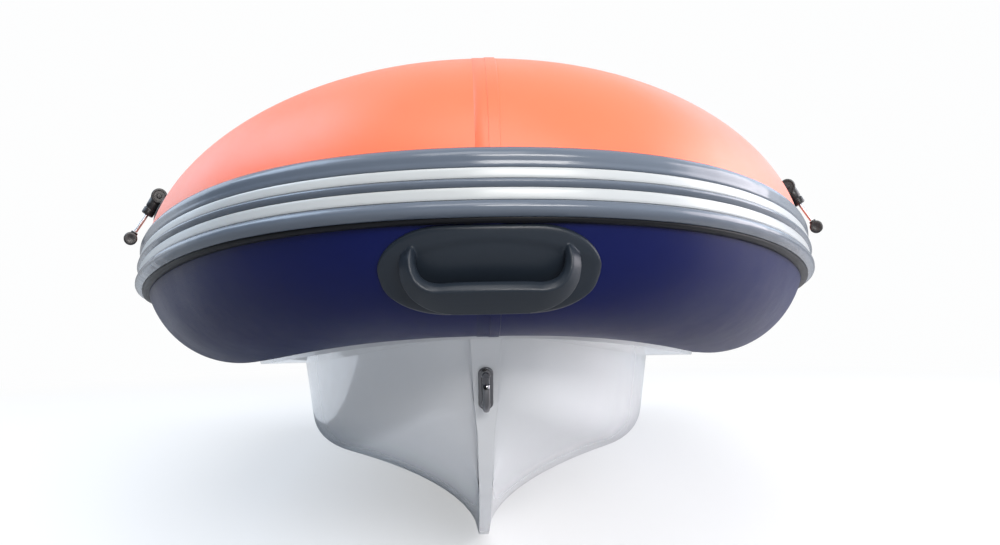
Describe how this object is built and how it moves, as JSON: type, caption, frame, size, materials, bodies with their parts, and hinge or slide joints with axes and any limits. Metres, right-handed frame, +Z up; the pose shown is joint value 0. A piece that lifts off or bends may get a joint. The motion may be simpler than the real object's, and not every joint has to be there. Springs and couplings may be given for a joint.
{
  "type": "rigid inflatable boat",
  "caption": "Small open boat with an inflated tube collar on a deep V hull, a striped rub strake, a moulded bow handle, a seat and a bow locker with hinged lids.",
  "frame": {"origin": "on the centreplane, amidships, at the height of the design waterline", "axes": "+Z up; -Y towards the bow; +X to the port side"},
  "size_m": [1.7008, 3.5648, 0.9401],
  "materials": {
    "tube_orange": "coated tube fabric, satin",
    "tube_navy": "coated tube fabric, satin",
    "strake_grey": "extruded, satin",
    "stripe_white": "extruded, satin",
    "lip_black": "extruded, matt",
    "gelcoat_white": "polished glass-fibre gelcoat",
    "gelcoat_grey": "moulded glass-fibre gelcoat",
    "deck_mat": "non-slip, matt",
    "steel_polished": "polished stainless steel",
    "aluminium_plate": "brushed",
    "handle_grey": "moulded, matt",
    "black_plastic": "moulded",
    "cap_grey": "moulded, matt",
    "cushion_vinyl": "vinyl cover, satin"
  },
  "bodies": {
    "boat": {"tube_upper": "tube_orange", "tube_lower": "tube_navy", "cone_cap_port": "cap_grey", "cone_cap_starboard": "cap_grey", "rub_strake": "strake_grey", "strake_stripe_upper": "stripe_white", "strake_stripe_lower": "stripe_white", "strake_lip": "lip_black", "hull": "gelcoat_white", "transom": "gelcoat_white", "transom_pad_outer": "aluminium_plate", "transom_pad_inner": "aluminium_plate", "stern_eye_port": "steel_polished", "stern_eye_starboard": "steel_polished", "drain_plug": "black_plastic", "bow_eye": "steel_polished", "deck_liner": "gelcoat_grey", "deck_mat_fore": "deck_mat", "deck_mat_aft": "deck_mat", "bow_locker": "gelcoat_grey", "bow_locker_hinge": "steel_polished", "seat_box": "gelcoat_grey", "seat_hinge": "steel_polished", "seat_latch": "black_plastic", "bow_handle": "handle_grey", "grab_handle_port_fore": "handle_grey", "grab_handle_port_aft": "handle_grey", "grab_handle_starboard_fore": "handle_grey", "grab_handle_starboard_aft": "handle_grey", "valve_port": "black_plastic", "valve_starboard": "black_plastic", "valve_bow": "black_plastic", "rowlock_base_port": "black_plastic", "rowlock_base_starboard": "black_plastic", "rowlock_pin_port": "steel_polished", "rowlock_pin_starboard": "steel_polished", "rowlock_knob_port": "black_plastic", "rowlock_knob_starboard": "black_plastic"},
    "bow_lid": {"bow_locker_lid": "gelcoat_grey", "bow_locker_latch": "black_plastic"},
    "seat_top": {"seat_lid": "gelcoat_grey", "seat_cushion": "cushion_vinyl"}
  },
  "joints": [
    {"name": "bow_lid_hinge", "type": "hinge", "parent": "boat", "child": "bow_lid", "pos_m": [0, -0.402, 0.486], "axis": [-1, 0, 0], "range_deg": [0, 100]},
    {"name": "seat_lid_hinge", "type": "hinge", "parent": "boat", "child": "seat_top", "pos_m": [0, 0.628, 0.52], "axis": [-1, 0, 0], "range_deg": [0, 95]}
  ]
}
